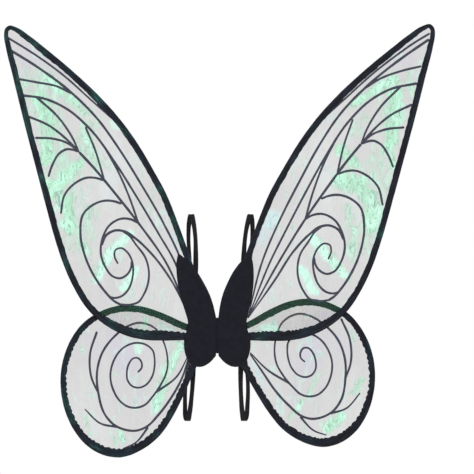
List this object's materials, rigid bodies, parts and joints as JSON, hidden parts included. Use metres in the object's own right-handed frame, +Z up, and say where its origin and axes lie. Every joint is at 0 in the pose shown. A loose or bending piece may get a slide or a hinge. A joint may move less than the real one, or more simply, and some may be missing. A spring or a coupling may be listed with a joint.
{
  "type": "fairy wings",
  "caption": "Butterfly-shaped costume wings: bound wire hoops with clear veined film, held in a leaf-shaped felt pad that folds down its middle and is worn on elastic arm loops.",
  "frame": {"origin": "middle of the waist seam, on the face of the seam that rests against the wearer's back", "axes": "+Z up as worn, +Y out of the back of the seam towards the wearer, +X to the wearer's right"},
  "size_m": [0.5777, 0.0581, 0.5813],
  "materials": {
    "felt": "matt black needled felt",
    "binding": "dark satin-woven tape with a faint teal sheen",
    "elastic": "matt black flat woven elastic",
    "film": "clear crinkled pearl film with mint and lilac streaks",
    "wire": "drawn steel wire",
    "crimp": "plain crimped tube",
    "foam": "fine closed-cell foam",
    "thread": "twisted polyester sewing thread"
  },
  "bodies": {
    "spine": {"centre_seam": "felt", "seam_stitches": "thread"},
    "right_side": {"right_front_cover": "felt", "right_back_cover": "felt", "right_core_pad": "foam", "right_upper_wire": "wire", "right_upper_ferrule": "crimp", "right_upper_binding": "binding", "right_upper_film": "film", "right_strap_base": "elastic", "right_strap_tacks": "thread"},
    "right_lower_wing": {"right_lower_wire": "wire", "right_lower_ferrule": "crimp", "right_lower_binding": "binding", "right_lower_film": "film"},
    "right_arm_strap": {"right_strap_loop": "elastic"},
    "left_side": {"left_front_cover": "felt", "left_back_cover": "felt", "left_core_pad": "foam", "left_upper_wire": "wire", "left_upper_ferrule": "crimp", "left_upper_binding": "binding", "left_upper_film": "film", "left_strap_base": "elastic", "left_strap_tacks": "thread"},
    "left_lower_wing": {"left_lower_wire": "wire", "left_lower_ferrule": "crimp", "left_lower_binding": "binding", "left_lower_film": "film"},
    "left_arm_strap": {"left_strap_loop": "elastic"}
  },
  "joints": [
    {"name": "right_fold", "type": "hinge", "parent": "spine", "child": "right_side", "pos_m": [0, -0.011, 0], "axis": [0, 0, -1], "range_deg": [-12, 85]},
    {"name": "right_lower_spread", "type": "hinge", "parent": "right_side", "child": "right_lower_wing", "pos_m": [0.0224, -0.0035, -0.0025], "axis": [0, 1, 0], "range_deg": [-12, 20]},
    {"name": "right_strap_swing", "type": "hinge", "parent": "right_side", "child": "right_arm_strap", "pos_m": [0.03322, 0.005, 0.024], "axis": [-0.0244, 0, -0.9997], "range_deg": [-15, 60], "stiffness_Nm_per_rad": 0.02},
    {"name": "left_fold", "type": "hinge", "parent": "spine", "child": "left_side", "pos_m": [0, -0.011, 0], "axis": [0, 0, 1], "range_deg": [-12, 85]},
    {"name": "left_lower_spread", "type": "hinge", "parent": "left_side", "child": "left_lower_wing", "pos_m": [-0.0224, -0.0035, -0.0025], "axis": [0, -1, 0], "range_deg": [-17.5, 14.5]},
    {"name": "left_strap_swing", "type": "hinge", "parent": "left_side", "child": "left_arm_strap", "pos_m": [-0.03078, 0.005, 0.024], "axis": [0.0244, 0, 0.9997], "range_deg": [-15, 60], "stiffness_Nm_per_rad": 0.02}
  ]
}
